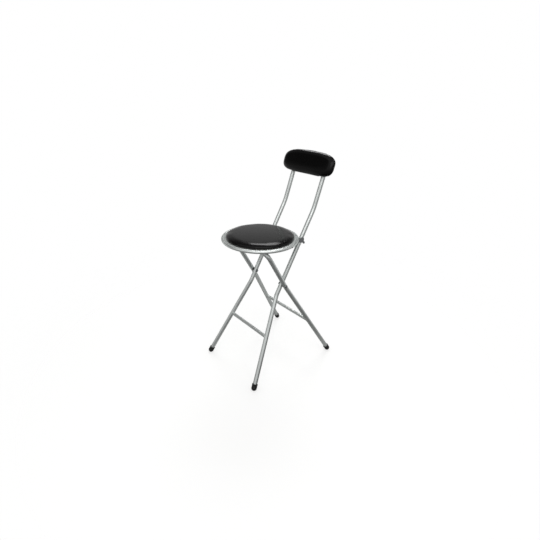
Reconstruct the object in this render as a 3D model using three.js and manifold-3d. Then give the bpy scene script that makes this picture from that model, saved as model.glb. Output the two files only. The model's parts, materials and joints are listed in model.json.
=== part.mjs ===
// A folding bar stool: two frames of bent steel tube crossed like scissors,
// a round padded seat that rides up the back tubes as the frames close,
// and a small padded back rest. Lengths are millimetres, +Z is up, and the
// person who sits on it faces -Y.

import * as THREE from 'three';
import { mergeVertices } from 'three/addons/utils/BufferGeometryUtils.js';
import Module from 'manifold-3d';

const wasm = await Module();
wasm.setup();

// Tubes and fits
const tubeDiameter = 18;
const tubeWall = 1.2;
const barDiameter = 13.8;
const barWall = 1.1;
const fitGap = 0.3;

// Back frame: heights above the floor, and how far each run leans backwards in degrees.
// The knee lies a little below the scissor pivot.
const pivotHeight = 390;
const kneeDrop = 44;
const backBendHeight = 679;
const uprightTopHeight = 868;
const frontLean = 28.7;
const uprightLean = 30.4;
const backLean = 19.9;
const frontFootHalfWidth = 165;
const uprightHalfWidth = 85;
const kneeBendRadius = 60;
const backBendRadius = 220;

// Rear leg frame: one tube bent into an upside-down U. Its lean follows from the pivot
// and from where its cross tube lies under the seat.
const rearKneeDrop = 10;
const rearFootHalfWidth = 180;
const crossTubeDrop = 20.7;
const crossTubeForward = 54.6;
const crossCornerRadius = 32;

// Bars that tie each pair of legs
const footrestHeight = 193;
const stretcherHeight = 190.5;

// Scissor pivots
const spacerThickness = 2.7;
const spacerDiameter = 17;
const rivetDiameter = 6;
const rivetHeadDiameter = 13;
const rivetHeadHeight = 3.2;
const washerDiameter = 14;
const washerThickness = 1.2;

// Foot caps
const capWall = 2.4;
const capSleeve = 17;
const capLip = 0.8;
const capLipHeight = 3;
const capFloorCut = 2;

// Seat
const seatRadius = 155;
const seatHeight = 577.5;
const seatTilt = 0.9;
const rimToUprightGap = 12;
const rimBeadRadius = 6;
const sheetThickness = 1.2;
const dishStep = 1.4;
const seatPadRadius = 137.2;
const seatPadHeight = 19;
const seatPadCrown = 4.2;
const seatPadShoulder = 9;
const seatPadTuck = 1.6;
const seatBoardRadius = 130;
const seatBoardThickness = 9;

// Clips that carry the seat on the cross tube
const clipWidth = 24;
const clipThickness = 2;
const clipFlange = 15;
const clipSpacingShare = 0.58;

// Guide ears beside the back tubes. Each carries a pin that runs behind its tube and
// rests on a stop rivet when the stool stands open.
const earThickness = 2.5;
const earToTubeGap = 0.8;
const earDrop = 18;
const earRoundRadius = 12;
const earRoundRise = 4.5;
const earRoundForward = 2.5;
const earTailRadius = 4.6;
const earFlangeLength = 46;
const earFlangeWidth = 20;
const earRimClearance = 1.2;
const guidePinReach = 15;
const guidePinAngle = -45;
const guidePinRadius = 2.5;
const pinShankRadius = 2;
const pinHeadRadius = 4;
const pinHeadHeight = 1.8;
const stopHeadHeight = 3;

// Back rest
const backPadWidth = 272;
const backPadHeight = 90.4;
const backPadThickness = 26.5;
const backPadArch = 4.9;
const backPadRise = 27.6;
const backPadShoulder = 17;
const backPadCrown = 3.5;
const backPadTuck = 1.6;
const backBoardInset = 7;
const backBoardThickness = 8;
const backCornerPower = 3.5;

// Screws and plugs
const screwDiameter = 4;
const screwHeadDiameter = 8;
const screwHeadHeight = 2.2;
const screwBite = 6;
const backScrewSpacing = 34;
const plugHeadHeight = 3;
const plugStemLength = 9;

// Mesh fineness, and how far a cutting body runs past what it cuts
const tubeSides = 16;
const bendSteps = 4;
const cornerSteps = 6;
const discSegments = 56;
const padSegments = 48;
const roundSegments = 16;
const plateSegments = 8;
const screwSegments = 8;
const holeSegments = 10;
const domeSteps = 3;
const padShoulderAngles = [18, 36, 54, 72];
const overrun = 4;

const tubeRadius = tubeDiameter / 2;
const barRadius = barDiameter / 2;
const rivetRadius = rivetDiameter / 2;
const screwRadius = screwDiameter / 2;
const screwHeadRadius = screwHeadDiameter / 2;
const sides = { left: -1, right: 1 };

const xAxis = new THREE.Vector3(1, 0, 0);
const yAxis = new THREE.Vector3(0, 1, 0);
const zAxis = new THREE.Vector3(0, 0, 1);

const rad = THREE.MathUtils.degToRad;
const lean = (degrees) => Math.tan(rad(degrees));

// Side view, measured backwards from the front feet
const kneeHeight = pivotHeight - kneeDrop;
const kneeY = kneeHeight * lean(frontLean);
const backBendY = kneeY + (backBendHeight - kneeHeight) * lean(uprightLean);
const uprightTopY = backBendY + (uprightTopHeight - backBendHeight) * lean(backLean);
const uprightYAt = (height) => kneeY + (height - kneeHeight) * lean(uprightLean);
const pivotY = uprightYAt(pivotHeight);

const rearTopHalfWidth = uprightHalfWidth + tubeDiameter + spacerThickness + 2 * fitGap;
const rimRearAtUpright = Math.sqrt(seatRadius ** 2 - uprightHalfWidth ** 2);
const uprightFaceY = uprightYAt(seatHeight) - tubeRadius / Math.cos(rad(uprightLean));
const seatY = uprightFaceY - rimToUprightGap - rimRearAtUpright;
const crossTubeHeight = seatHeight - crossTubeDrop;
const crossTubeY = seatY - crossTubeForward;
const rearKneeHeight = pivotHeight - rearKneeDrop;
const rearSlope = (pivotY - crossTubeY) / (crossTubeHeight - pivotHeight);
const rearYAt = (height) => pivotY - (height - pivotHeight) * rearSlope;

const frontFloorPoint = (side) => new THREE.Vector3(side * frontFootHalfWidth, 0, 0);
const frontKneePoint = (side) => new THREE.Vector3(side * uprightHalfWidth, kneeY, kneeHeight);
const rearFloorPoint = (side) => new THREE.Vector3(side * rearFootHalfWidth, rearYAt(0), 0);
const rearKneePoint = (side) => {
  return new THREE.Vector3(side * rearTopHalfWidth, rearYAt(rearKneeHeight), rearKneeHeight);
};

// Materials
const silverPaint = () => new THREE.MeshStandardMaterial({ color: 0xb4b8b7, roughness: 0.38, metalness: 0.55 });
const zincSteel = () => new THREE.MeshStandardMaterial({ color: 0x9a9d9c, roughness: 0.35, metalness: 0.9 });
const blackVinyl = () => new THREE.MeshStandardMaterial({ color: 0x131313, roughness: 0.4, metalness: 0 });
const blackRubber = () => new THREE.MeshStandardMaterial({ color: 0x141414, roughness: 0.8, metalness: 0 });
const blackNylon = () => new THREE.MeshStandardMaterial({ color: 0x101010, roughness: 0.55, metalness: 0 });
const plywood = () => new THREE.MeshStandardMaterial({ color: 0xb08a5a, roughness: 0.75, metalness: 0 });

// Solids: a closed geometry becomes a body that can be cut and joined, and comes back
function toSolid(geometry) {
  const bare = geometry.clone();
  bare.deleteAttribute('normal');
  bare.deleteAttribute('uv');
  const merged = mergeVertices(bare);
  const vertProperties = new Float32Array(merged.attributes.position.array);
  const triVerts = new Uint32Array(merged.index.array);
  return new wasm.Manifold(new wasm.Mesh({ numProp: 3, vertProperties, triVerts }));
}

function toGeometry(solid) {
  const mesh = solid.getMesh();
  const geometry = new THREE.BufferGeometry();
  geometry.setAttribute('position', new THREE.BufferAttribute(new Float32Array(mesh.vertProperties), 3));
  geometry.setIndex(new THREE.BufferAttribute(new Uint32Array(mesh.triVerts), 1));
  geometry.computeVertexNormals();
  return geometry;
}

function cut(geometry, tools) {
  const solid = tools.reduce((body, tool) => body.subtract(toSolid(tool)), toSolid(geometry));
  return toGeometry(solid);
}

function join(geometries) {
  return toGeometry(geometries.map(toSolid).reduce((body, next) => body.add(next)));
}

// A round rod from one point to another, for cutting
function rodBetween(from, to, radius, segments = holeSegments) {
  const span = new THREE.Vector3().subVectors(to, from);
  const rod = new THREE.CylinderGeometry(radius, radius, span.length(), segments);
  const turn = new THREE.Quaternion().setFromUnitVectors(yAxis, span.clone().normalize());
  const middle = new THREE.Vector3().addVectors(from, to).multiplyScalar(0.5);
  return rod.applyMatrix4(new THREE.Matrix4().compose(middle, turn, new THREE.Vector3(1, 1, 1)));
}

// A path of straight runs and round bends. Its sections stand at the ends of the runs
// and along each bend, so a straight run costs one step.
class BentPath extends THREE.Curve {
  constructor(corners, radii, stepsPerBend) {
    super();
    this.knots = [];
    const last = corners.length - 1;
    this.addKnot(corners[0], new THREE.Vector3().subVectors(corners[1], corners[0]).normalize());
    for (let i = 1; i < last; i += 1) {
      this.addBend(corners[i - 1], corners[i], corners[i + 1], radii[i - 1], stepsPerBend[i - 1]);
    }
    this.addKnot(corners[last], new THREE.Vector3().subVectors(corners[last], corners[last - 1]).normalize());
  }

  addKnot(point, direction) {
    this.knots.push({ point: point.clone(), direction: direction.clone() });
  }

  addBend(before, corner, after, radius, steps) {
    const inward = new THREE.Vector3().subVectors(corner, before).normalize();
    const outward = new THREE.Vector3().subVectors(after, corner).normalize();
    const turn = inward.angleTo(outward);
    const setback = radius * Math.tan(turn / 2);
    const start = corner.clone().addScaledVector(inward, -setback);
    const axis = new THREE.Vector3().crossVectors(inward, outward).normalize();
    const toCentre = new THREE.Vector3().crossVectors(axis, inward);
    const centre = start.clone().addScaledVector(toCentre, radius);
    for (let i = 0; i <= steps; i += 1) {
      const angle = (turn * i) / steps;
      const spoke = toCentre.clone().multiplyScalar(-radius).applyAxisAngle(axis, angle);
      this.addKnot(centre.clone().add(spoke), inward.clone().applyAxisAngle(axis, angle));
    }
  }

  get steps() {
    return this.knots.length - 1;
  }

  getUtoTmapping(u) {
    return u;
  }

  getPoint(t, target = new THREE.Vector3()) {
    const place = THREE.MathUtils.clamp(t, 0, 1) * this.steps;
    const i = Math.min(Math.floor(place), this.steps - 1);
    return target.lerpVectors(this.knots[i].point, this.knots[i + 1].point, place - i);
  }

  getTangent(t, target = new THREE.Vector3()) {
    const place = THREE.MathUtils.clamp(t, 0, 1) * this.steps;
    const i = Math.min(Math.floor(place), this.steps - 1);
    return target.lerpVectors(this.knots[i].direction, this.knots[i + 1].direction, place - i).normalize();
  }
}

function roundSection(radius, wall) {
  const section = new THREE.Shape();
  section.absarc(0, 0, radius, 0, 2 * Math.PI, false);
  if (wall > 0) {
    const bore = new THREE.Path();
    bore.absarc(0, 0, radius - wall, 0, 2 * Math.PI, true);
    section.holes.push(bore);
  }
  return section;
}

function tubeAlong(path, radius, wall) {
  return new THREE.ExtrudeGeometry(roundSection(radius, wall), {
    steps: path.steps,
    curveSegments: tubeSides / 2,
    extrudePath: path,
  });
}

// An outline drawn in the side view (y, z), made solid from one x to another
function plateAcross(outline, fromX, toX, curveSegments = plateSegments) {
  const plate = new THREE.ExtrudeGeometry(outline, {
    depth: toX - fromX,
    bevelEnabled: false,
    curveSegments,
  });
  plate.applyMatrix4(new THREE.Matrix4().makeBasis(yAxis, zAxis, xAxis));
  return plate.translate(fromX, 0, 0);
}

function lathe(points, segments) {
  return new THREE.LatheGeometry(points.map(([r, h]) => new THREE.Vector2(r, h)), segments);
}

// Points of an arc in a profile, from one angle to another in degrees
function arcPoints(centreR, centreH, radius, fromDegrees, toDegrees, steps) {
  return Array.from({ length: steps + 1 }, (_, i) => {
    const angle = rad(fromDegrees + ((toDegrees - fromDegrees) * i) / steps);
    return [centreR + radius * Math.cos(angle), centreH + radius * Math.sin(angle)];
  });
}

// A closed skin through rings of equal point count, with a fan on the first and last ring
function loftRings(rings, firstCentre, lastCentre) {
  const count = rings[0].length;
  const points = [...rings.flat(), firstCentre, lastCentre];
  const first = rings.length * count;
  const triangles = [];
  for (let i = 0; i < count; i += 1) {
    const next = (i + 1) % count;
    triangles.push(first, next, i);
    for (let ring = 0; ring < rings.length - 1; ring += 1) {
      const a = ring * count;
      const b = a + count;
      triangles.push(a + i, a + next, b + next, a + i, b + next, b + i);
    }
    const top = (rings.length - 1) * count;
    triangles.push(first + 1, top + i, top + next);
  }
  const geometry = new THREE.BufferGeometry().setFromPoints(points);
  geometry.setIndex(triangles);
  geometry.computeVertexNormals();
  return geometry;
}

function named(name, geometry, material) {
  const mesh = new THREE.Mesh(geometry, material);
  mesh.name = name;
  return mesh;
}

function placeAlong(mesh, origin, direction) {
  mesh.position.copy(origin);
  mesh.quaternion.setFromUnitVectors(yAxis, direction);
  return mesh;
}

// Screw: round head at the origin, shank along +Y
function screwGeometry(length) {
  const dome = arcPoints(0, 0, 1, -90, 0, domeSteps)
    .map(([r, h]) => [r * screwHeadRadius, h * screwHeadHeight]);
  return lathe([...dome, [screwRadius, 0], [screwRadius, length], [0, length]], screwSegments);
}

function screwHole(from, direction, length) {
  const start = from.clone().addScaledVector(direction, -overrun);
  const end = from.clone().addScaledVector(direction, length + fitGap);
  return rodBetween(start, end, screwRadius + fitGap);
}

// Back frame

function pivotHole(side) {
  const inner = new THREE.Vector3(side * (uprightHalfWidth - tubeDiameter), pivotY, pivotHeight);
  const outer = new THREE.Vector3(side * (rearTopHalfWidth + tubeDiameter), pivotY, pivotHeight);
  return rodBetween(inner, outer, rivetRadius + fitGap);
}

const backDirection = new THREE.Vector3(0, Math.sin(rad(backLean)), Math.cos(rad(backLean)));
const backForward = new THREE.Vector3(0, -Math.cos(rad(backLean)), Math.sin(rad(backLean)));
const backPadCentre = new THREE.Vector3(0, uprightTopY, uprightTopHeight)
  .addScaledVector(backDirection, -backPadRise)
  .addScaledVector(backForward, tubeRadius + fitGap);

function backScrewStarts() {
  return Object.values(sides).flatMap((side) => [-1, 1].map((end) => backPadCentre.clone()
    .addScaledVector(xAxis, side * uprightHalfWidth)
    .addScaledVector(backDirection, (end * backScrewSpacing) / 2 - backPadArch)
    .addScaledVector(backForward, -(tubeDiameter + 2 * fitGap))));
}

const backScrewLength = tubeDiameter + 2 * fitGap + screwBite;

// The stop rivet sits on the tube's outer side, just under the ear's round end
function stopSpot() {
  const alongTube = new THREE.Vector2(Math.sin(rad(uprightLean)), Math.cos(rad(uprightLean)));
  const forward = new THREE.Vector2(-alongTube.y, alongTube.x);
  const round = new THREE.Vector2(-earRoundForward, earRoundRise);
  const offLine = round.dot(forward);
  const reach = earRoundRadius + pinHeadRadius + fitGap;
  const drop = Math.sqrt(reach ** 2 - offLine ** 2) - round.dot(alongTube);
  const ear = new THREE.Vector2(uprightYAt(seatHeight - earDrop), seatHeight - earDrop);
  return ear.addScaledVector(alongTube, -drop);
}

function stopHole(side) {
  const { x: y, y: z } = stopSpot();
  const from = new THREE.Vector3(side * uprightHalfWidth, y, z);
  const to = new THREE.Vector3(side * (uprightHalfWidth + tubeDiameter), y, z);
  return rodBetween(from, to, pinShankRadius + fitGap);
}

// Rivet through the tube's outer wall, with its tail spread inside the tube
function makeStopRivet() {
  const wallX = uprightHalfWidth + tubeRadius;
  const headX = wallX + fitGap;
  const tailX = uprightHalfWidth + Math.sqrt((tubeRadius - tubeWall) ** 2 - pinHeadRadius ** 2) - fitGap;
  const head = arcPoints(0, headX, 1, 30, 90, domeSteps).map(([r, h]) => [
    (r * pinHeadRadius) / Math.cos(rad(30)),
    headX + stopHeadHeight * (2 * (h - headX) - 1),
  ]);
  const profile = [
    [0, tailX - fitGap - washerThickness],
    [pinHeadRadius - fitGap, tailX - washerThickness],
    [pinHeadRadius - fitGap, tailX - fitGap],
    [pinShankRadius, tailX - fitGap],
    [pinShankRadius, headX],
    ...head,
  ];
  return lathe(profile, screwSegments);
}

function capStart(floorPoint, direction) {
  const rise = (tubeRadius + capWall - capFloorCut) / direction.z;
  return floorPoint.clone().addScaledVector(direction, rise);
}

function makeBackTube(side) {
  const floor = frontFloorPoint(side);
  const knee = frontKneePoint(side);
  const direction = new THREE.Vector3().subVectors(knee, floor).normalize();
  const start = capStart(floor, direction).addScaledVector(direction, fitGap);
  const bend = new THREE.Vector3(side * uprightHalfWidth, backBendY, backBendHeight);
  const top = new THREE.Vector3(side * uprightHalfWidth, uprightTopY, uprightTopHeight);
  const radii = [kneeBendRadius, backBendRadius];
  const path = new BentPath([start, knee, bend, top], radii, [bendSteps, bendSteps]);
  const screws = backScrewStarts().map((from) => screwHole(from, backForward, backScrewLength));
  return cut(tubeAlong(path, tubeRadius, tubeWall), [pivotHole(side), stopHole(side), ...screws]);
}

// A straight bar across one pair of legs, its ends shaped to the tubes that they meet
function makeBar(height, floorPoint, kneePoint) {
  const share = height / kneePoint(1).z;
  const end = new THREE.Vector3().lerpVectors(floorPoint(1), kneePoint(1), share);
  const start = end.clone().setX(-end.x);
  const bar = tubeAlong(new BentPath([start, end], [], []), barRadius, barWall);
  const reach = tubeRadius + fitGap;
  const leg = (side) => rodBetween(floorPoint(side), kneePoint(side), reach, 2 * tubeSides);
  return cut(bar, Object.values(sides).map(leg));
}

// Rubber cap over a tube end: a cup with a round bottom, worn flat where it stands
function makeFootCap(floorPoint, kneePoint) {
  const direction = new THREE.Vector3().subVectors(kneePoint, floorPoint).normalize();
  const outer = tubeRadius + capWall;
  const bore = tubeRadius + fitGap;
  const bottom = arcPoints(0, 0, outer, -90, 0, 2 * domeSteps);
  const lip = outer + capLip;
  const profile = [
    ...bottom,
    [outer, capSleeve - capLipHeight],
    [lip, capSleeve - capLipHeight / 2],
    [outer, capSleeve],
    [bore, capSleeve],
    [bore, 0],
    [0, 0],
  ];
  const start = capStart(floorPoint, direction);
  const cap = placeAlong(new THREE.Mesh(lathe(profile, roundSegments)), start, direction);
  cap.updateMatrix();
  const reach = 2 * outer;
  const ground = new THREE.BoxGeometry(2 * reach, 2 * reach, reach);
  ground.translate(floorPoint.x, floorPoint.y, -reach / 2);
  ground.applyMatrix4(cap.matrix.clone().invert());
  cap.geometry = cut(cap.geometry, [ground]);
  return cap;
}

function makeRivet() {
  const innerX = uprightHalfWidth - tubeRadius - washerThickness - 2 * fitGap;
  const outerX = rearTopHalfWidth + tubeRadius + fitGap;
  const tail = arcPoints(0, innerX, 1, -90, 0, domeSteps)
    .map(([r, h]) => [r * (rivetHeadDiameter / 2 - washerThickness), innerX + (h - innerX) * rivetHeadHeight]);
  const head = arcPoints(0, outerX, 1, 0, 90, domeSteps)
    .map(([r, h]) => [r * rivetHeadDiameter / 2, outerX + (h - outerX) * rivetHeadHeight]);
  return lathe([...tail, [rivetRadius, innerX], [rivetRadius, outerX], ...head], roundSegments);
}

function makeRing(innerX, thickness, outerRadius) {
  const bore = rivetRadius + fitGap;
  const profile = [
    [bore, innerX],
    [outerRadius, innerX],
    [outerRadius, innerX + thickness],
    [bore, innerX + thickness],
    [bore, innerX],
  ];
  return lathe(profile, roundSegments);
}

// Turns a body made about the Y axis so that it points outwards along X on its side
function placeAtPivot(mesh, side) {
  mesh.position.set(0, pivotY, pivotHeight);
  mesh.rotation.z = (-side * Math.PI) / 2;
  return mesh;
}

function makeUprightPlug(side) {
  const stem = tubeRadius - tubeWall - fitGap;
  const head = arcPoints(0, fitGap, 1, 0, 90, domeSteps)
    .map(([r, h]) => [r * tubeRadius, fitGap + (h - fitGap) * plugHeadHeight]);
  const profile = [[0, -plugStemLength], [stem, -plugStemLength], [stem, fitGap], ...head];
  const top = new THREE.Vector3(side * uprightHalfWidth, uprightTopY, uprightTopHeight);
  return placeAlong(new THREE.Mesh(lathe(profile, roundSegments), blackNylon()), top, backDirection);
}

// Outline of the back rest: a soft-cornered oblong whose ends hang a little
function backOutline(inset, depth, count) {
  const half = backPadWidth / 2;
  return Array.from({ length: count }, (_, i) => {
    const angle = (2 * Math.PI * i) / count;
    const c = Math.cos(angle);
    const s = Math.sin(angle);
    const reach = (Math.abs(c) ** backCornerPower + Math.abs(s) ** backCornerPower) ** (-1 / backCornerPower);
    const x = (half - inset) * reach * c;
    const z = (backPadHeight / 2 - inset) * reach * s - backPadArch * (x / half) ** 2;
    return new THREE.Vector3(x, -depth, z);
  });
}

function makeBackBoard() {
  const front = backOutline(backBoardInset, backBoardThickness, padSegments);
  const back = backOutline(backBoardInset, 0, padSegments);
  const middle = new THREE.Vector3(0, -backBoardThickness, 0);
  const body = loftRings([back, front], new THREE.Vector3(), middle);
  body.rotateX(-rad(backLean));
  body.translate(0, backPadCentre.y, backPadCentre.z);
  const screws = backScrewStarts().map((from) => screwHole(from, backForward, backScrewLength));
  return cut(body, screws).translate(0, -backPadCentre.y, -backPadCentre.z).rotateX(rad(backLean));
}

function makeBackPad() {
  const ring = (inset, depth) => backOutline(inset, depth, padSegments);
  const seat = backBoardInset - fitGap;
  const flank = backPadThickness - backPadCrown - backPadShoulder;
  const shoulder = padShoulderAngles.map((degrees) => ring(
    backPadShoulder * (1 - Math.cos(rad(degrees))),
    flank + backPadShoulder * Math.sin(rad(degrees)),
  ));
  const half = backPadHeight / 2;
  const domeShares = [0.45, 0.72];
  const dome = domeShares.map((share) => ring(half * share, backPadThickness - backPadCrown * (1 - share)));
  const rings = [
    ring(seat, backBoardThickness + fitGap),
    ring(seat, 0),
    ring(backPadTuck, 0),
    ring(0, flank / 2),
    ring(0, flank),
    ...shoulder,
    ...dome,
  ];
  const inner = new THREE.Vector3(0, -(backBoardThickness + fitGap), 0);
  return loftRings(rings, inner, new THREE.Vector3(0, -backPadThickness, 0));
}

function makeScrews(kind, starts, direction, length) {
  return starts.map((from, i) => {
    const screw = named(`${kind}_screw_${i + 1}`, screwGeometry(length), zincSteel());
    return placeAlong(screw, from, direction);
  });
}

function makeBackFrame() {
  const frame = new THREE.Group();
  frame.add(named('footrest_bar', makeBar(footrestHeight, frontFloorPoint, frontKneePoint), silverPaint()));
  for (const [word, side] of Object.entries(sides)) {
    frame.add(named(`back_tube_${word}`, makeBackTube(side), silverPaint()));
    const cap = makeFootCap(frontFloorPoint(side), frontKneePoint(side));
    cap.name = `front_foot_${word}`;
    cap.material = blackRubber();
    frame.add(cap);
    frame.add(placeAtPivot(named(`pivot_rivet_${word}`, makeRivet(), zincSteel()), side));
    const spacerX = uprightHalfWidth + tubeRadius + fitGap;
    const spacer = makeRing(spacerX, spacerThickness, spacerDiameter / 2);
    frame.add(placeAtPivot(named(`pivot_spacer_${word}`, spacer, blackNylon()), side));
    const washerX = uprightHalfWidth - tubeRadius - fitGap - washerThickness;
    const washer = makeRing(washerX, washerThickness, washerDiameter / 2);
    frame.add(placeAtPivot(named(`pivot_washer_${word}`, washer, zincSteel()), side));
    const plug = makeUprightPlug(side);
    plug.name = `upright_plug_${word}`;
    frame.add(plug);
    const stop = named(`stop_rivet_${word}`, makeStopRivet(), silverPaint());
    stop.position.set(0, stopSpot().x, stopSpot().y);
    stop.rotation.z = (-side * Math.PI) / 2;
    frame.add(stop);
  }
  const rest = new THREE.Group();
  rest.position.copy(backPadCentre);
  rest.rotation.x = -rad(backLean);
  rest.add(named('back_board', makeBackBoard(), plywood()));
  rest.add(named('back_pad', makeBackPad(), blackVinyl()));
  frame.add(rest);
  frame.add(...makeScrews('back', backScrewStarts(), backForward, backScrewLength));
  return frame;
}

// Rear leg frame

function makeRearFrameTube() {
  const leg = (side) => {
    const floor = rearFloorPoint(side);
    const knee = rearKneePoint(side);
    const direction = new THREE.Vector3().subVectors(knee, floor).normalize();
    const start = capStart(floor, direction).addScaledVector(direction, fitGap);
    const corner = new THREE.Vector3(side * rearTopHalfWidth, rearYAt(crossTubeHeight), crossTubeHeight);
    return [start, knee, corner];
  };
  const corners = [...leg(sides.left), ...leg(sides.right).reverse()];
  const radii = [kneeBendRadius, crossCornerRadius, crossCornerRadius, kneeBendRadius];
  const path = new BentPath(corners, radii, [bendSteps, cornerSteps, cornerSteps, bendSteps]);
  return cut(tubeAlong(path, tubeRadius, tubeWall), Object.values(sides).map(pivotHole));
}

function makeRearLegs() {
  const frame = new THREE.Group();
  frame.add(named('rear_leg_frame', makeRearFrameTube(), silverPaint()));
  frame.add(named('stretcher_bar', makeBar(stretcherHeight, rearFloorPoint, rearKneePoint), silverPaint()));
  for (const [word, side] of Object.entries(sides)) {
    const cap = makeFootCap(rearFloorPoint(side), rearKneePoint(side));
    cap.name = `rear_foot_${word}`;
    cap.material = blackRubber();
    frame.add(cap);
  }
  return frame;
}

// Seat, drawn about the middle of its rim

const plateTop = rimBeadRadius - dishStep;
const plateUnderside = plateTop - sheetThickness;
const curlRadius = seatRadius - rimBeadRadius;
const curlBore = rimBeadRadius - sheetThickness;
const curlInnerRadius = curlRadius - rimBeadRadius;

// A point of the side view, given in the seat's own tilted frame
function inSeatFrame(y, z) {
  const offset = new THREE.Vector2(y - seatY, z - seatHeight);
  return offset.rotateAround(new THREE.Vector2(), rad(seatTilt));
}

const crossTubeSpot = inSeatFrame(rearYAt(crossTubeHeight), crossTubeHeight);
const earSpot = inSeatFrame(uprightYAt(seatHeight - earDrop), seatHeight - earDrop);
const guidePinSpot = earSpot.clone().add(
  new THREE.Vector2(guidePinReach, 0).rotateAround(new THREE.Vector2(), rad(guidePinAngle)),
);
const earRound = earSpot.clone().add(new THREE.Vector2(-earRoundForward, earRoundRise));
const earInnerX = uprightHalfWidth + tubeRadius + earToTubeGap;
const earOuterX = earInnerX + earThickness;
const underBoard = plateTop + fitGap;

function clipScrewStarts() {
  const reach = tubeRadius + fitGap + clipThickness + clipFlange / 2;
  const height = plateUnderside - 2 * fitGap - clipThickness;
  return Object.values(sides).flatMap((side) => [-1, 1].map((end) => new THREE.Vector3(
    side * uprightHalfWidth * clipSpacingShare,
    crossTubeSpot.x + end * reach,
    height,
  )));
}

const earFlangeRear = Math.sqrt(curlInnerRadius ** 2 - earOuterX ** 2) - earRimClearance;

function earScrewStarts() {
  const height = plateUnderside - 2 * fitGap - earThickness;
  const placeShares = [0.4, 0.75];
  return Object.values(sides).flatMap((side) => placeShares.map((share) => new THREE.Vector3(
    side * (earInnerX - earFlangeWidth / 2),
    earFlangeRear - earFlangeLength * share,
    height,
  )));
}

const clipScrewLength = clipThickness + 2 * fitGap + sheetThickness + fitGap + screwBite;
const earScrewLength = earThickness + 2 * fitGap + sheetThickness + fitGap + screwBite;

function seatScrewHoles() {
  const clips = clipScrewStarts().map((from) => screwHole(from, zAxis, clipScrewLength));
  const ears = earScrewStarts().map((from) => screwHole(from, zAxis, earScrewLength));
  return [...clips, ...ears];
}

// Pressed sheet with a raised bead round the edge, curled under and left open inside
function makeSeatPan() {
  const outerStart = 180 - THREE.MathUtils.radToDeg(Math.asin(plateTop / rimBeadRadius));
  const innerEnd = 180 - THREE.MathUtils.radToDeg(Math.asin(plateUnderside / curlBore));
  const curlEnd = -150;
  const outer = arcPoints(curlRadius, 0, rimBeadRadius, curlEnd, outerStart, 10);
  const inner = arcPoints(curlRadius, 0, curlBore, innerEnd, curlEnd, 8);
  const profile = [[0, plateUnderside], ...inner, ...outer, [0, plateTop]];
  return cut(lathe(profile, discSegments).rotateX(Math.PI / 2), seatScrewHoles());
}

function makeSeatBoard() {
  const board = new THREE.CylinderGeometry(seatBoardRadius, seatBoardRadius, seatBoardThickness, discSegments);
  board.rotateX(Math.PI / 2).translate(0, 0, underBoard + seatBoardThickness / 2);
  return cut(board, seatScrewHoles());
}

// Cushion over the board: sides that belly out from a tucked-in foot, and a low crown
function makeSeatPad() {
  const top = underBoard + seatPadHeight;
  const shoulderTop = top - seatPadCrown;
  const flank = seatPadRadius - seatPadShoulder;
  const shoulder = arcPoints(flank, shoulderTop - seatPadShoulder, seatPadShoulder, 0, 78, 4);
  const crownShares = [0.8, 0.5, 0.25, 0];
  const crown = crownShares.map((share) => [flank * share, top - seatPadCrown * share ** 2]);
  const boardTop = underBoard + seatBoardThickness + fitGap;
  const profile = [
    [0, boardTop],
    [seatBoardRadius + fitGap, boardTop],
    [seatBoardRadius + fitGap, underBoard],
    [seatPadRadius - seatPadTuck, underBoard],
    ...shoulder,
    ...crown,
  ];
  return lathe(profile, discSegments).rotateX(Math.PI / 2);
}

// Strap bent round the cross tube, with a flange on each side against the pan
function makeClip(side) {
  const { x: y, y: z } = crossTubeSpot;
  const inner = tubeRadius + fitGap;
  const outer = inner + clipThickness;
  const top = plateUnderside - fitGap;
  const outline = new THREE.Shape();
  outline.moveTo(y - outer - clipFlange, top);
  outline.lineTo(y - outer - clipFlange, top - clipThickness);
  outline.lineTo(y - outer, top - clipThickness);
  outline.lineTo(y - outer, z);
  outline.absarc(y, z, outer, Math.PI, 2 * Math.PI, false);
  outline.lineTo(y + outer, top - clipThickness);
  outline.lineTo(y + outer + clipFlange, top - clipThickness);
  outline.lineTo(y + outer + clipFlange, top);
  outline.lineTo(y + inner, top);
  outline.lineTo(y + inner, z);
  outline.absarc(y, z, inner, 0, -Math.PI, true);
  outline.lineTo(y - inner, top);
  outline.closePath();
  const middle = side * uprightHalfWidth * clipSpacingShare;
  const strap = plateAcross(outline, middle - clipWidth / 2, middle + clipWidth / 2);
  return cut(strap, clipScrewStarts().map((from) => screwHole(from, zAxis, clipScrewLength)));
}

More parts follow.
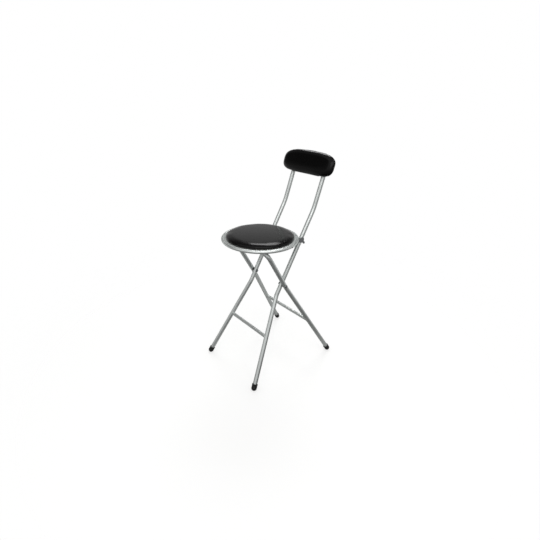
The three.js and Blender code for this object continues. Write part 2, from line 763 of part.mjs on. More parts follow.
// Ear plate outside the back tube. It hangs from a flange under the pan, passes below
// the curled rim to a round end beside the tube, and a tail carries the guide pin.
function makeEar(side) {
  const top = plateUnderside - fitGap;
  const front = earFlangeRear - earFlangeLength;
  const below = -(rimBeadRadius + earRimClearance);
  const upperAngle = Math.PI - Math.asin((below - earRound.y) / earRoundRadius);
  const outline = new THREE.Shape();
  outline.moveTo(front, top);
  outline.lineTo(front, top - earThickness);
  outline.lineTo(earRound.x, earRound.y - earRoundRadius);
  outline.absarc(earRound.x, earRound.y, earRoundRadius, -Math.PI / 2, upperAngle, false);
  outline.lineTo(earFlangeRear, below);
  outline.lineTo(earFlangeRear, top);
  outline.closePath();
  const tailTurn = guidePinSpot.clone().sub(earRound).angle();
  const tail = new THREE.Shape();
  const tailEnd = tailTurn + Math.PI / 2;
  tail.absarc(guidePinSpot.x, guidePinSpot.y, earTailRadius, tailEnd - Math.PI, tailEnd, false);
  tail.absarc(earRound.x, earRound.y, earTailRadius, tailEnd, tailEnd + Math.PI, false);
  tail.closePath();
  const flange = new THREE.Shape();
  flange.moveTo(front, top - earThickness);
  flange.lineTo(earFlangeRear, top - earThickness);
  flange.lineTo(earFlangeRear, top);
  flange.lineTo(front, top);
  flange.closePath();
  const spanFrom = (from, to) => (side > 0 ? [from, to] : [-to, -from]);
  const body = join([
    plateAcross(outline, ...spanFrom(earInnerX, earOuterX)),
    plateAcross(tail, ...spanFrom(earInnerX, earOuterX)),
    plateAcross(flange, ...spanFrom(earInnerX - earFlangeWidth, earOuterX - fitGap)),
  ]);
  const pinHole = rodBetween(
    new THREE.Vector3(side * (earInnerX - overrun), guidePinSpot.x, guidePinSpot.y),
    new THREE.Vector3(side * (earOuterX + overrun), guidePinSpot.x, guidePinSpot.y),
    pinShankRadius + fitGap,
  );
  return cut(body, [pinHole, ...earScrewStarts().map((from) => screwHole(from, zAxis, earScrewLength))]);
}

// Shouldered pin behind the back tube, riveted over on the outside of the ear
function makeGuidePin() {
  const start = uprightHalfWidth - tubeRadius;
  const shoulder = earInnerX - fitGap;
  const headX = earOuterX + fitGap;
  const head = arcPoints(0, headX, 1, 0, 90, domeSteps).map(([r, h]) => [
    r * pinHeadRadius,
    headX + (h - headX) * pinHeadHeight,
  ]);
  const profile = [
    [0, start],
    [guidePinRadius, start],
    [guidePinRadius, shoulder],
    [pinShankRadius, shoulder],
    [pinShankRadius, headX],
    ...head,
  ];
  return lathe(profile, screwSegments);
}

function makeSeat() {
  const seat = new THREE.Group();
  seat.position.set(0, seatY, seatHeight);
  seat.rotation.x = -rad(seatTilt);
  seat.add(named('seat_pan', makeSeatPan(), silverPaint()));
  seat.add(named('seat_board', makeSeatBoard(), plywood()));
  seat.add(named('seat_pad', makeSeatPad(), blackVinyl()));
  for (const [word, side] of Object.entries(sides)) {
    seat.add(named(`seat_clip_${word}`, makeClip(side), zincSteel()));
    seat.add(named(`guide_ear_${word}`, makeEar(side), zincSteel()));
    const pin = named(`guide_pin_${word}`, makeGuidePin(), zincSteel());
    pin.position.set(0, guidePinSpot.x, guidePinSpot.y);
    pin.rotation.z = (-side * Math.PI) / 2;
    seat.add(pin);
  }
  seat.add(...makeScrews('clip', clipScrewStarts(), zAxis, clipScrewLength));
  seat.add(...makeScrews('ear', earScrewStarts(), zAxis, earScrewLength));
  return seat;
}

// The whole stool stands on z = 0, centred over its own footprint
const stool = new THREE.Group();
stool.add(makeBackFrame(), makeRearLegs(), makeSeat());
stool.updateMatrixWorld(true);
const extent = new THREE.Box3().setFromObject(stool, true);
stool.position.y = -(extent.min.y + extent.max.y) / 2;

export default stool;
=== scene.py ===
# %% [markdown]
# # A folding bar stool
#
# This lesson dresses the plain CAD model of a folding bar stool so that it looks like the real one:
# bent steel tube in silver powder coat, a pressed steel seat pan, black vinyl cushions and rubber
# feet. The CAD model comes in as the frame. Each new piece either stands for a CAD piece or is
# added to it, and rides on the body that it belongs to, so the stool still folds.

import json
import math

import bmesh
import bpy
import numpy as np
from mathutils import Matrix, Vector

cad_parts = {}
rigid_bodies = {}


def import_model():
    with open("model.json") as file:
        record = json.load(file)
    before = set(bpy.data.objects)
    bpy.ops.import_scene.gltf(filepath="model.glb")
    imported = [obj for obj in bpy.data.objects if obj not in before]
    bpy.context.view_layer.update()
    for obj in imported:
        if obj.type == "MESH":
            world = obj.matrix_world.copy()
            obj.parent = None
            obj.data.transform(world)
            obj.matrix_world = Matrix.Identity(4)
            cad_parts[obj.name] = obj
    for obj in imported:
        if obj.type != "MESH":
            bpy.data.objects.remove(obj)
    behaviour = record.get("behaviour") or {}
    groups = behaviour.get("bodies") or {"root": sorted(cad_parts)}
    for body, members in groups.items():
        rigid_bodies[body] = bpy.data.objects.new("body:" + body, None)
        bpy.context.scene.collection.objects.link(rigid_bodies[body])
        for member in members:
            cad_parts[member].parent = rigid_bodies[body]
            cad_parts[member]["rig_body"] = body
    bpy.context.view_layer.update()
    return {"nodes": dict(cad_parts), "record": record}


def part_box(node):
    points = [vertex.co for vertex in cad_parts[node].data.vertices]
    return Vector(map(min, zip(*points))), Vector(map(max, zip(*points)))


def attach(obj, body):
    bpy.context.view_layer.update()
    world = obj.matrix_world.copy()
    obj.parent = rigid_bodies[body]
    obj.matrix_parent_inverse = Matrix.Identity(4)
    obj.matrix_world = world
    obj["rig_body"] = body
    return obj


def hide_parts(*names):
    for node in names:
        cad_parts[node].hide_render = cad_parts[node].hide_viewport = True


for leftover in list(bpy.data.objects):
    bpy.data.objects.remove(leftover)
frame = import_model()

# %% [markdown]
# ## Reading sizes from the frame
#
# Two places are read from the CAD pieces' boxes, the scissor pivot and the middle of the seat pan,
# and the other sizes hang on them. Lengths are in metres, so 18 mm of tube is written as 18 * MM.

# %% The places that everything hangs on
MM = 0.001


def middle(node):
    low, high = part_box(node)
    return (low + high) / 2


pivot = middle("pivot_rivet_right")
pan_centre = middle("seat_pan")
print("pivot at", [round(v, 4) for v in pivot])
print("pan centre at", [round(v, 4) for v in pan_centre])

# %% [markdown]
# ## The camera
#
# The photograph was taken from the front right and a little above the back rest. The camera's place
# was worked out from the tubes' lines in the photograph, as an offset from the middle of the seat,
# and its lens from how fast the far legs shrink. Yaw, pitch and roll are turned into the camera's
# three axes.

# %% Place the camera
CAMERA_FROM_SEAT = Vector((1.0527, -0.8577, 0.0))
CAMERA_HEIGHT = 1.1003
YAW = math.radians(49.13)
PITCH = math.radians(26.10)
ROLL = math.radians(0.55)
FOCAL_PIXELS = 362.67
IMAGE_PIXELS = 540
SENSOR_MM = 36
FARTHEST_SEEN = 50

ahead = Vector((-math.sin(YAW) * math.cos(PITCH), math.cos(YAW) * math.cos(PITCH),
                -math.sin(PITCH)))
across = Vector((math.cos(YAW), math.sin(YAW), 0))
upward = across.cross(ahead)
right = across * math.cos(ROLL) + upward * math.sin(ROLL)
up = upward * math.cos(ROLL) - across * math.sin(ROLL)

camera = bpy.data.objects.new("camera", bpy.data.cameras.new("camera"))
bpy.context.scene.collection.objects.link(camera)
camera.data.sensor_width = SENSOR_MM
camera.data.lens = FOCAL_PIXELS / IMAGE_PIXELS * SENSOR_MM
camera.data.clip_end = FARTHEST_SEEN
place = Vector((0, pan_centre.y, 0)) + CAMERA_FROM_SEAT + Vector((0, 0, CAMERA_HEIGHT))
turn = Matrix((right, up, -ahead)).transposed()
camera.matrix_world = Matrix.Translation(place) @ turn.to_4x4()
bpy.context.scene.camera = camera
print("lens", round(camera.data.lens, 2), "mm, camera at", [round(v, 3) for v in place])

# %% [markdown]
# ## Helpers for materials
#
# Colours are given as sRGB hex values, the way a paint chart gives them, and Blender wants
# them linear. One function does that. A second one adds a shader node, sets it and wires it, which
# keeps each recipe short enough to read as a list.

# %% Colour and node helpers
def linear(hex_code):
    """sRGB hex to the linear colour that Blender's sockets take."""
    steps = [int(hex_code[i : i + 2], 16) / 255 for i in (1, 3, 5)]
    return (*[c / 12.92 if c <= 0.04045 else ((c + 0.055) / 1.055) ** 2.4 for c in steps], 1.0)


def add_node(tree, kind, inputs=None, **settings):
    """A node of that kind. inputs maps a socket's name or number to a value or another output."""
    node = tree.nodes.new(kind)
    for key, value in settings.items():
        setattr(node, key, value)
    for socket, value in (inputs or {}).items():
        if isinstance(value, bpy.types.NodeSocket):
            tree.links.new(value, node.inputs[socket])
        else:
            node.inputs[socket].default_value = value
    return node


def new_material(name):
    """An empty node material with its output, and the object's own coordinates in metres."""
    material = bpy.data.materials.new(name)
    material.use_nodes = True
    tree = material.node_tree
    tree.nodes.clear()
    output = tree.nodes.new("ShaderNodeOutputMaterial")
    place = tree.nodes.new("ShaderNodeTexCoord").outputs["Object"]
    return material, tree, output, place


print("#808080 is", round(linear("#808080")[0], 3), "in linear light")

# %% [markdown]
# ## Silver powder coat
#
# The tubes and the pan are steel, sprayed with a silver polyester powder and baked. The powder
# flows into a skin with a faint orange-peel texture, waves about 2 mm across. Metal flake in the
# resin gives a metallic sheen, duller than bare chrome. So the metallic value lies between paint
# and metal, the roughness is middling, and a fine bump carries the orange peel.

# %% Silver powder coat
def make_silver_powder_coat():
    material, tree, output, place = new_material("silver_powder_coat_on_steel")
    cloud = add_node(tree, "ShaderNodeTexNoise", {
        "Vector": place, "Scale": 1 / (60 * MM), "Detail": 3.0})
    tint = add_node(tree, "ShaderNodeMix", {
        0: cloud.outputs["Fac"], 6: linear("#d6dad8"), 7: linear("#e1e5e3")}, data_type="RGBA")
    peel = add_node(tree, "ShaderNodeTexNoise", {
        "Vector": place, "Scale": 1 / (2.2 * MM), "Detail": 1.0})
    bump = add_node(tree, "ShaderNodeBump", {
        "Height": peel.outputs["Fac"], "Strength": 0.02, "Distance": 0.3 * MM})
    gloss = add_node(tree, "ShaderNodeMapRange", {
        "Value": cloud.outputs["Fac"], "To Min": 0.30, "To Max": 0.36})
    shader = add_node(tree, "ShaderNodeBsdfPrincipled", {
        "Base Color": tint.outputs[2], "Metallic": 0.85, "Roughness": gloss.outputs["Result"],
        "Specular Tint": linear("#77797a"), "Normal": bump.outputs["Normal"]})
    tree.links.new(shader.outputs["BSDF"], output.inputs["Surface"])
    return material


silver_paint = make_silver_powder_coat()
print("made", silver_paint.name)

# %% [markdown]
# ## Zinc-plated steel
#
# Rivets, washers, clips and screws are mild steel with a bright zinc plate. It is a real metal
# surface, so metallic is 1 and the colour is zinc's bluish grey. Tumbling in the plating barrel
# leaves fine scuffs, drawn here as a noise in the colour and the roughness.

# %% Zinc-plated steel
def make_zinc_plate():
    material, tree, output, place = new_material("zinc_plated_steel_tumbled")
    scuff = add_node(tree, "ShaderNodeTexNoise", {
        "Vector": place, "Scale": 1 / (1.5 * MM), "Detail": 4.0})
    gloss = add_node(tree, "ShaderNodeMapRange", {
        "Value": scuff.outputs["Fac"], "To Min": 0.22, "To Max": 0.42})
    tint = add_node(tree, "ShaderNodeMix", {
        0: scuff.outputs["Fac"], 6: linear("#8e9294"), 7: linear("#b0b3b3")}, data_type="RGBA")
    shader = add_node(tree, "ShaderNodeBsdfPrincipled", {
        "Base Color": tint.outputs[2], "Metallic": 1.0, "Roughness": gloss.outputs["Result"]})
    tree.links.new(shader.outputs["BSDF"], output.inputs["Surface"])
    return material


zinc_plate = make_zinc_plate()
print("made", zinc_plate.name)

# %% [markdown]
# ## Black vinyl
#
# The cushions are covered in PVC artificial leather: a black plastic skin embossed with a fine
# grain, cells a little over 1 mm across. Plastic isn't metallic and its IOR is about 1.5. The
# embossing makes the gloss soft, and its pits swallow part of the light, so the specular level is
# set below a half. Voronoi cells give the grain's pebbles, moved by up to 1.2 mm so that they don't
# line up, and a broad noise gives the slight wear in the gloss.

# %% Black vinyl
def make_black_vinyl():
    material, tree, output, place = new_material("black_pvc_leathercloth_embossed")
    wander = add_node(tree, "ShaderNodeTexNoise", {
        "Vector": place, "Scale": 1 / (4 * MM), "Detail": 2.0})
    moved = add_node(tree, "ShaderNodeMixRGB", {
        0: 1.2 * MM, 1: place, 2: wander.outputs["Color"]}, blend_type="ADD")
    pebble = add_node(tree, "ShaderNodeTexVoronoi", {
        "Vector": moved.outputs[0], "Scale": 1 / (1.3 * MM)}, feature="SMOOTH_F1")
    bump = add_node(tree, "ShaderNodeBump", {
        "Height": pebble.outputs["Distance"], "Strength": 0.14, "Distance": 0.12 * MM}, invert=True)
    cloud = add_node(tree, "ShaderNodeTexNoise", {
        "Vector": place, "Scale": 1 / (45 * MM), "Detail": 3.0})
    tint = add_node(tree, "ShaderNodeMix", {
        0: cloud.outputs["Fac"], 6: linear("#050505"), 7: linear("#090808")}, data_type="RGBA")
    gloss = add_node(tree, "ShaderNodeMapRange", {
        "Value": cloud.outputs["Fac"], "To Min": 0.17, "To Max": 0.22})
    shader = add_node(tree, "ShaderNodeBsdfPrincipled", {
        "Base Color": tint.outputs[2], "Roughness": gloss.outputs["Result"], "IOR": 1.5,
        "Specular IOR Level": 0.17, "Normal": bump.outputs["Normal"]})
    tree.links.new(shader.outputs["BSDF"], output.inputs["Surface"])
    return material


black_vinyl = make_black_vinyl()
print("made", black_vinyl.name)

# %% [markdown]
# ## Rubber, nylon and plywood
#
# The foot caps are moulded rubber, matt and a little dusty. The spacers and plugs are moulded
# nylon, smoother and slightly glossy. Both come from one recipe. The boards inside the cushions are
# birch plywood, pale with long grain, which is a noise stretched along the board.

# %% Rubber and nylon
def make_moulded_black(name, colour, dusty, rough_low, rough_high, grain):
    material, tree, output, place = new_material(name)
    speck = add_node(tree, "ShaderNodeTexNoise", {
        "Vector": place, "Scale": 1 / grain, "Detail": 3.0})
    gloss = add_node(tree, "ShaderNodeMapRange", {
        "Value": speck.outputs["Fac"], "To Min": rough_low, "To Max": rough_high})
    bump = add_node(tree, "ShaderNodeBump", {
        "Height": speck.outputs["Fac"], "Strength": 0.15, "Distance": 0.1 * MM})
    tint = add_node(tree, "ShaderNodeMix", {
        0: speck.outputs["Fac"], 6: linear(colour), 7: linear(dusty)}, data_type="RGBA")
    shader = add_node(tree, "ShaderNodeBsdfPrincipled", {
        "Base Color": tint.outputs[2], "Roughness": gloss.outputs["Result"],
        "Normal": bump.outputs["Normal"]})
    tree.links.new(shader.outputs["BSDF"], output.inputs["Surface"])
    return material


black_rubber = make_moulded_black(
    "black_rubber_moulded", "#080808", "#131312", rough_low=0.5, rough_high=0.75, grain=0.8 * MM)
black_nylon = make_moulded_black(
    "black_nylon_moulded", "#0c0c0c", "#1a1a19", rough_low=0.35, rough_high=0.5, grain=0.5 * MM)
print("made", black_rubber.name, "and", black_nylon.name)

# %% Plywood
def make_birch_plywood():
    material, tree, output, place = new_material("birch_plywood_sanded")
    stretched = add_node(tree, "ShaderNodeMapping", {
        "Vector": place, "Scale": (1 / (90 * MM), 1 / (2.5 * MM), 1 / (2.5 * MM))})
    grain = add_node(tree, "ShaderNodeTexNoise", {
        "Vector": stretched.outputs[0], "Scale": 1.0, "Detail": 4.0})
    tint = add_node(tree, "ShaderNodeMix", {
        0: grain.outputs["Fac"], 6: linear("#b4925f"), 7: linear("#cdb081")}, data_type="RGBA")
    bump = add_node(tree, "ShaderNodeBump", {
        "Height": grain.outputs["Fac"], "Strength": 0.2, "Distance": 0.2 * MM})
    shader = add_node(tree, "ShaderNodeBsdfPrincipled", {
        "Base Color": tint.outputs[2], "Roughness": 0.65, "Normal": bump.outputs["Normal"]})
    tree.links.new(shader.outputs["BSDF"], output.inputs["Surface"])
    return material


plywood = make_birch_plywood()
print("made", plywood.name)

# %% [markdown]
# ## Turning point lists into objects
#
# Most pieces here are either swept (a section carried along a path) or turned (a profile spun round
# an axis). Small functions make the points and faces of both, and one turns them into an object.

# %% Mesh helpers
TINY = 1e-9


def put_in_scene(name, mesh, material, sharp_degrees):
    """A smooth object with that mesh. Edges that turn by more than that stay sharp."""
    mesh.polygons.foreach_set("use_smooth", [True] * len(mesh.polygons))
    mesh.set_sharp_from_angle(angle=math.radians(sharp_degrees))
    mesh.materials.append(material)
    piece = bpy.data.objects.new(name, mesh)
    bpy.context.scene.collection.objects.link(piece)
    return piece


def make_object(name, points, faces, material, sharp_degrees=40):
    mesh = bpy.data.meshes.new(name)
    mesh.from_pydata([tuple(p) for p in points], [], faces)
    mesh.validate()
    return put_in_scene(name, mesh, material, sharp_degrees)


def stitch_rings(rings, closed=False):
    """Points and faces of a skin over rings of equal length. Open skins get a cap at each end."""
    count = len(rings[0])
    points = [p for ring in rings for p in ring]
    faces = []
    last = len(rings) if closed else len(rings) - 1
    for r in range(last):
        a, b = r * count, ((r + 1) % len(rings)) * count
        faces += [(a + i, a + (i + 1) % count, b + (i + 1) % count, b + i) for i in range(count)]
    if not closed:
        faces.append(tuple(reversed(range(count))))
        faces.append(tuple(range((len(rings) - 1) * count, len(rings) * count)))
    return points, faces


def round_turns(count):
    """The angles of that many points spread evenly round a circle."""
    return [2 * math.pi * i / count for i in range(count)]


def turned(profile, segments):
    """Points and faces of a (radius, height) profile spun round +Z. Points on the axis close it."""
    points, faces, rows = [], [], []
    for radius, height in profile:
        if radius < TINY:
            rows.append([len(points)] * segments)
            points.append(Vector((0, 0, height)))
        else:
            rows.append(list(range(len(points), len(points) + segments)))
            points += [Vector((radius * math.cos(t), radius * math.sin(t), height))
                       for t in round_turns(segments)]
    for low, high in zip(rows, rows[1:]):
        for i in range(segments):
            j = (i + 1) % segments
            face = list(dict.fromkeys((low[i], low[j], high[j], high[i])))
            if len(face) > 2:
                faces.append(tuple(face))
    return points, faces


def arc(centre_r, centre_h, radius, start, end, steps):
    """Points of a profile along an arc, from one angle in degrees to another."""
    angles = [math.radians(start + (end - start) * i / steps) for i in range(steps + 1)]
    return [(centre_r + radius * math.cos(a), centre_h + radius * math.sin(a)) for a in angles]


# %% [markdown]
# ## Taking a CAD piece's place
#
# A new piece takes over from its CAD node: it replaces the node and rides on the same body, so that
# it moves with the joint.

# %% Helpers that place a piece
done = set()


def stand_for(piece, node):
    """piece takes the place of a CAD node and rides on the same body."""
    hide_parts(node)
    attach(piece, frame["nodes"][node]["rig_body"])
    done.add(node)


def facing(direction, origin):
    """A matrix that takes +Z to a direction and the origin to a point."""
    return Matrix.Translation(origin) @ direction.to_track_quat("Z", "Y").to_matrix().to_4x4()


print(len(frame["nodes"]), "CAD pieces to stand for")

# %% [markdown]
# ## Bent tubes
#
# A tube bender gives straight runs joined by true arcs. Each path is a list of corners with a bend
# radius at each one. The CAD tubes are coarse on purpose, so here each tube is swept again along
# the same line with 32 sides and finer bends, and takes its CAD tube's place.

# %% A swept tube
def bent_path(corners, radii, steps=10):
    """Points and directions of straight runs joined by arcs."""
    stations = [(corners[0], (corners[1] - corners[0]).normalized())]
    for before, corner, after, radius in zip(corners, corners[1:], corners[2:], radii):
        inward, outward = (corner - before).normalized(), (after - corner).normalized()
        bend = inward.angle(outward)
        start = corner - inward * radius * math.tan(bend / 2)
        axis = inward.cross(outward).normalized()
        spoke = axis.cross(inward) * radius
        for i in range(steps + 1):
            part = Matrix.Rotation(bend * i / steps, 3, axis)
            stations.append((start + spoke - part @ spoke, part @ inward))
    stations.append((corners[-1], (corners[-1] - corners[-2]).normalized()))
    return stations


def sweep(stations, radius, sides=32):
    """Points and faces of a round section carried along the stations without twisting."""
    side = stations[0][1].orthogonal().normalized()
    rings = []
    for point, direction in stations:
        side = (side - direction * side.dot(direction)).normalized()
        other = direction.cross(side)
        rings.append([point + radius * (math.cos(t) * side + math.sin(t) * other)
                      for t in round_turns(sides)])
    return stitch_rings(rings)


# %% [markdown]
# ## The lines of the two leg frames
#
# The heights, half widths and leans below are the CAD model's. Below its knee a front leg leans a
# little less than above it, and spreads sideways. A rear leg keeps its lean and only spreads. A
# lean is given in degrees from the vertical.

# %% Where the tubes run
TUBE_RADIUS = 9 * MM
KNEE_HEIGHT = 346 * MM
REAR_KNEE_HEIGHT = 380 * MM
BACK_BEND_HEIGHT = 679 * MM
UPRIGHT_TOP = 868 * MM
CROSS_TUBE_HEIGHT = 556.8 * MM
UPRIGHT_HALF_WIDTH = 85 * MM
FRONT_FOOT_HALF_WIDTH = 165 * MM
REAR_FOOT_HALF_WIDTH = 180 * MM
REAR_TOP_HALF_WIDTH = 106.3 * MM
FOOT_GAP = 9.9 * MM
FRONT_LEG_LEAN, UPRIGHT_LEAN, BACK_REST_LEAN = 28.7, 30.4, 19.9
REAR_LEG_LEAN = 30.087


def slope(degrees):
    return math.tan(math.radians(degrees))


def front_corners(side):
    """The corners of a back tube, from the floor up. side is -1 at the left, 1 at the right."""
    knee_y = pivot.y - (pivot.z - KNEE_HEIGHT) * slope(UPRIGHT_LEAN)
    floor_y = knee_y - KNEE_HEIGHT * slope(FRONT_LEG_LEAN)
    floor = Vector((side * FRONT_FOOT_HALF_WIDTH, floor_y, 0))
    knee = Vector((side * UPRIGHT_HALF_WIDTH, knee_y, KNEE_HEIGHT))
    bend_y = knee_y + (BACK_BEND_HEIGHT - KNEE_HEIGHT) * slope(UPRIGHT_LEAN)
    bend = Vector((knee.x, bend_y, BACK_BEND_HEIGHT))
    top_y = bend.y + (UPRIGHT_TOP - BACK_BEND_HEIGHT) * slope(BACK_REST_LEAN)
    return [floor, knee, bend, Vector((knee.x, top_y, UPRIGHT_TOP))]


def rear_corners(side):
    """The corners of a rear leg, from the floor up to the cross tube."""
    def leg_y(height):
        return pivot.y - (height - pivot.z) * slope(REAR_LEG_LEAN)

    top_x = side * REAR_TOP_HALF_WIDTH
    return [Vector((side * REAR_FOOT_HALF_WIDTH, leg_y(0), 0)),
            Vector((top_x, leg_y(REAR_KNEE_HEIGHT), REAR_KNEE_HEIGHT)),
            Vector((top_x, leg_y(CROSS_TUBE_HEIGHT), CROSS_TUBE_HEIGHT))]


def above_floor(corners):
    """The same corners, the first one raised along its leg to where the tube ends in its cap."""
    floor, knee = corners[:2]
    direction = (knee - floor).normalized()
    return [floor + direction * FOOT_GAP / direction.z, *corners[1:]]


print("front leg's corners:", [[round(v, 3) for v in corner] for corner in front_corners(1)])
print("rear leg's corners:", [[round(v, 3) for v in corner] for corner in rear_corners(1)])

# %% Sweep the frames' tubes
SIDES = {"left": -1, "right": 1}
KNEE_BEND, BACK_BEND, CROSS_TUBE_BEND = 60 * MM, 220 * MM, 32 * MM

for word, side in SIDES.items():
    path = bent_path(above_floor(front_corners(side)), [KNEE_BEND, BACK_BEND])
    tube = make_object(f"bent_tube_{word}", *sweep(path, TUBE_RADIUS), silver_paint)
    stand_for(tube, f"back_tube_{word}")

left_leg, right_leg = above_floor(rear_corners(-1)), above_floor(rear_corners(1))
path = bent_path([*left_leg, *reversed(right_leg)],
                 [KNEE_BEND, CROSS_TUBE_BEND, CROSS_TUBE_BEND, KNEE_BEND])
tube = make_object("bent_rear_frame", *sweep(path, TUBE_RADIUS), silver_paint)
stand_for(tube, "rear_leg_frame")
print("rear frame path:", len(path), "stations")

# %% [markdown]
# ## Bars and their welds
#
# The footrest and the stretcher are thinner tubes welded between the legs. Where a bar meets a leg,
# a MIG weld leaves a small rippled bead all the way round. The bead follows the line where the two
# surfaces meet, so each point starts on the bar and slides along it until it touches the leg.

# %% Weld beads
BAR_RADIUS = 6.9 * MM
WELD_RADIUS, WELD_RIPPLE, WELD_RIPPLES = 1.5 * MM, 0.25 * MM, 18
WELD_FLATTENED = 0.9


def meeting_ring(centre, leg_direction, inward, radius, count):
    """Where a bar of that radius meets a leg: the bar runs inward from the leg's centre line."""
    across_leg = (leg_direction - inward * leg_direction.dot(inward)).normalized()
    over_leg = inward.cross(across_leg)
    step = inward - leg_direction * inward.dot(leg_direction)
    ring = []
    for t in round_turns(count):
        spot = centre + radius * (math.cos(t) * across_leg + math.sin(t) * over_leg)
        gap = spot - centre
        off = gap - leg_direction * gap.dot(leg_direction)
        a, b, c = step.dot(step), 2 * off.dot(step), off.dot(off) - TUBE_RADIUS**2
        ring.append(spot + inward * (-b + math.sqrt(b * b - 4 * a * c)) / (2 * a))
    return ring


def weld_bead(name, centre, leg_direction, inward, count=72):
    ring = meeting_ring(centre, leg_direction, inward, BAR_RADIUS, count)
    rings = []
    for i, point in enumerate(ring):
        ahead_along = (ring[(i + 1) % count] - ring[i - 1]).normalized()
        out = (point - centre - inward * (point - centre).dot(inward)).normalized()
        over = ahead_along.cross(out) * WELD_FLATTENED
        size = WELD_RADIUS + WELD_RIPPLE * math.sin(WELD_RIPPLES * 2 * math.pi * i / count)
        rings.append([point + size * (math.cos(t) * out + math.sin(t) * over)
                      for t in round_turns(8)])
    return make_object(name, *stitch_rings(rings, closed=True), silver_paint, sharp_degrees=180)


print("a weld bead is", round(2 * WELD_RADIUS / MM, 1), "mm wide")

# %% Bars between the legs
BAR_START = 7 * MM


def bar_between(node, corners_of, weld_name):
    """The bar that the node stands for. It starts inside the left leg and ends inside the right."""
    height = middle(node).z
    ends = {}
    for word, side in SIDES.items():
        floor, knee = corners_of(side)[:2]
        ends[word] = floor.lerp(knee, height / knee.z)
        inward = Vector((-side, 0, 0))
        bead = weld_bead(f"{weld_name}_{word}", ends[word], (knee - floor).normalized(), inward)
        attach(bead, frame["nodes"][node]["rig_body"])
    rightward = Vector((1, 0, 0))
    path = [(ends["left"] + rightward * BAR_START, rightward),
            (ends["right"] - rightward * BAR_START, rightward)]
    bar = make_object(f"welded_{node}", *sweep(path, BAR_RADIUS), silver_paint)
    stand_for(bar, node)
    span = (ends["right"] - ends["left"]).length
    print(node, "runs", round(span / MM, 1), "mm between leg centres")


bar_between("footrest_bar", front_corners, "footrest_weld")
bar_between("stretcher_bar", rear_corners, "stretcher_weld")

# %% [markdown]
# ## Foot caps
#
# Each leg ends in a push-on rubber cap with a rounded base, a slightly thicker lip at the mouth and
# two shallow grip rings. The base is worn flat where it stands, so every point that would go
# through the floor is lifted to it. The profile's numbers are millimetres of radius and height.

# %% Turn the foot caps
CAP_START = 9.4 * MM
CAP_RADIUS, GRIP_RADIUS = 11.4, 11.0
CAP_BASE = arc(0, 0, CAP_RADIUS, -90, 0, 15)
CAP_GRIPS = [(radius, ring + height) for ring in (4.0, 8.0) for radius, height in (
    (CAP_RADIUS, 0.0), (GRIP_RADIUS, 0.6), (GRIP_RADIUS, 1.4), (CAP_RADIUS, 2.0))]
CAP_LIP = [(CAP_RADIUS, 13.6), (12.0, 14.3), (12.2, 15.4), (12.0, 16.4), (11.5, 17.0)]
CAP_MOUTH = [(9.5, 17.0), (9.2, 16.6), (9.2, 12.0)]
CAP_PROFILE = [(r * MM, h * MM) for r, h in [*CAP_BASE, *CAP_GRIPS, *CAP_LIP, *CAP_MOUTH]]


def foot_cap(name, corners):
    floor, knee = corners[:2]
    direction = (knee - floor).normalized()
    points, faces = turned(CAP_PROFILE, segments=48)
    matrix = facing(direction, floor + direction * CAP_START / direction.z)
    points = [matrix @ p for p in points]
    for p in points:
        p.z = max(p.z, 0.0)
    cap = make_object(f"rubber_{name}", points, faces, black_rubber)
    stand_for(cap, name)
    print(name, "stands at z =", min(p.z for p in points))


for word, side in SIDES.items():
    foot_cap(f"front_foot_{word}", front_corners(side))
    foot_cap(f"rear_foot_{word}", rear_corners(side))

# %% [markdown]
# ## The seat pan
#
# The pan is pressed from sheet: a flat plate, a small crease, then a raised bead whose edge is
# curled under. In the photograph the ring outside the cushion shows as two pale bands with a thin
# dark line between them: that line is the crease. The profile is turned with 128 segments so that
# the rim stays round close up. The whole seat leans back by just under a degree.

# %% Turn the seat pan
SEAT_TILT = math.radians(-0.9)
BEAD = 6.0 * MM
SHEET = 1.2 * MM
PLATE_TOP = 4.6 * MM
CURL_END, BEAD_INSIDE, BEAD_OUTSIDE = -150, 134, 118
CREASE = [(3.6, 4.55), (4.2, 4.2), (5.0, 4.25), (6.2, 4.6)]

seat_place = Matrix.Translation(pan_centre) @ Matrix.Rotation(SEAT_TILT, 4, "X")
pan_low, pan_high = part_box("seat_pan")
rim_radius = (pan_high.x - pan_low.x) / 2
curl = rim_radius - BEAD
inside = arc(curl, 0, BEAD - SHEET, BEAD_INSIDE, CURL_END, 24)
outside = arc(curl, 0, BEAD, CURL_END, BEAD_OUTSIDE, 28)
crease = [(curl - inward * MM, height * MM) for inward, height in CREASE]
profile = [(0, PLATE_TOP - SHEET), *inside, *outside, *crease, (0, PLATE_TOP)]
points, faces = turned(profile, segments=128)
points = [seat_place @ p for p in points]
pan = make_object("pressed_seat_pan", points, faces, silver_paint, sharp_degrees=50)
stand_for(pan, "seat_pan")
print("pan across", round(2 * rim_radius / MM, 1), "mm")

# %% [markdown]
# ## Cushions
#
# A cushion is foam on a board with vinyl pulled tight over it. The vinyl rounds the foam's edge and
# the foam pushes it up in the middle. Each cushion starts as a slightly small block, is remeshed to
# even squares, and is then blown up by cloth pressure with its underside held, the way a cover
# fills. Loose cloth would pucker, and this cover is tight, so the movement is shared out between
# neighbouring points and limited. At the end the cushion is scaled to the size measured from the
# photograph.

# %% Blow up a cushion
PRESSURE = 4.0
STIFFNESS = 25
FILLING_FRAMES = 20
SHARING_ROUNDS = 14


def neighbour_average(mesh, values, rounds):
    """Each point's value becomes the mean of its own and its neighbours', again and again."""
    edges = np.array([e.vertices for e in mesh.edges])
    count = np.ones(len(values))
    np.add.at(count, edges[:, 0], 1)
    np.add.at(count, edges[:, 1], 1)
    for _ in range(rounds):
        total = values.copy()
        np.add.at(total, edges[:, 0], values[edges[:, 1]])
        np.add.at(total, edges[:, 1], values[edges[:, 0]])
        values = total / count[:, None]
    return values


